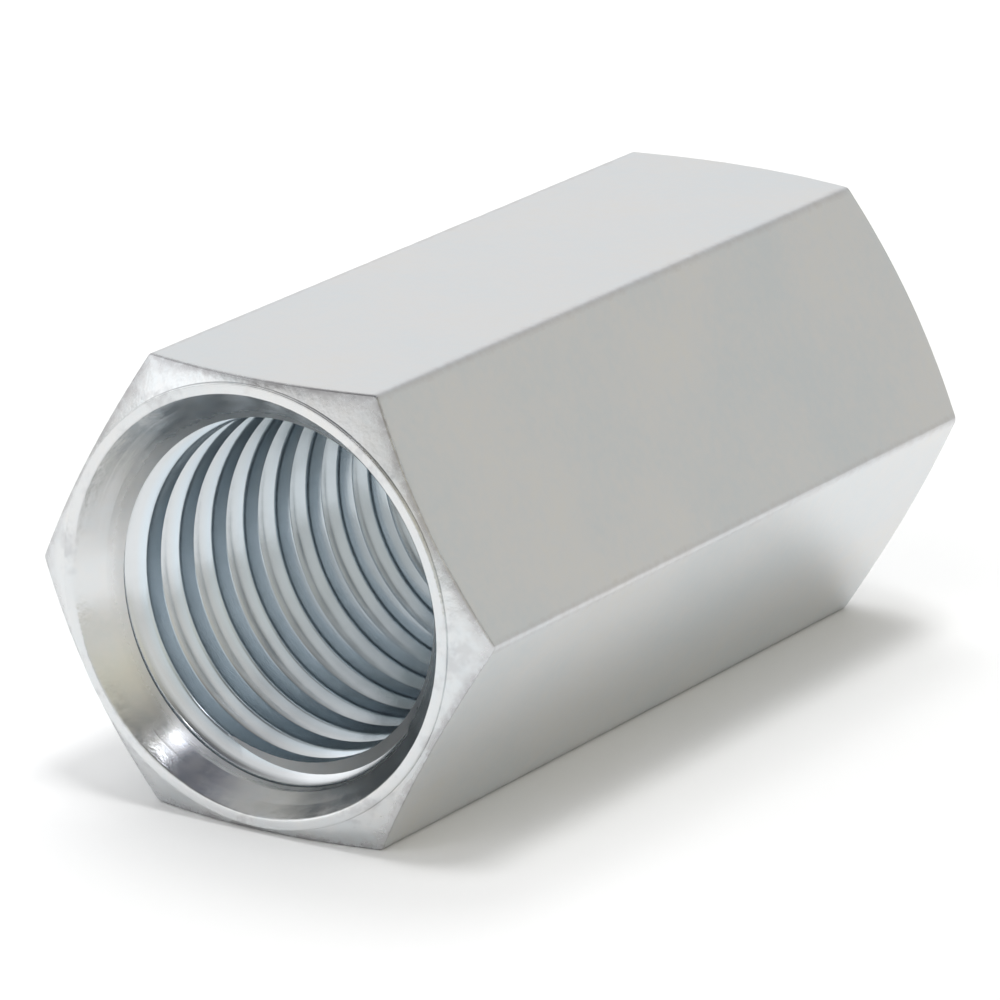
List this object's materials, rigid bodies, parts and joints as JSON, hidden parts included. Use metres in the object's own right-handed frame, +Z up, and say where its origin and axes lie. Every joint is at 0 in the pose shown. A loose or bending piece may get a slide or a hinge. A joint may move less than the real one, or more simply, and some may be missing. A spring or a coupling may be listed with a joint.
{
  "type": "hex coupling nut",
  "caption": "Long hexagonal coupling nut, threaded right through, with chamfered and countersunk ends, that joins two threaded rods end to end.",
  "frame": {"origin": "on the surface that the nut lies on, under the middle of its lower flat", "axes": "+Y along the thread's axis, away from the end that the picture shows; +Z up, square to the lower flat; X across two corners"},
  "size_m": [0.022, 0.0382, 0.0191],
  "materials": {
    "zinc_plated_steel": "bright zinc plate, satin"
  },
  "bodies": {
    "root": {"coupling_nut": "zinc_plated_steel"}
  },
  "joints": []
}
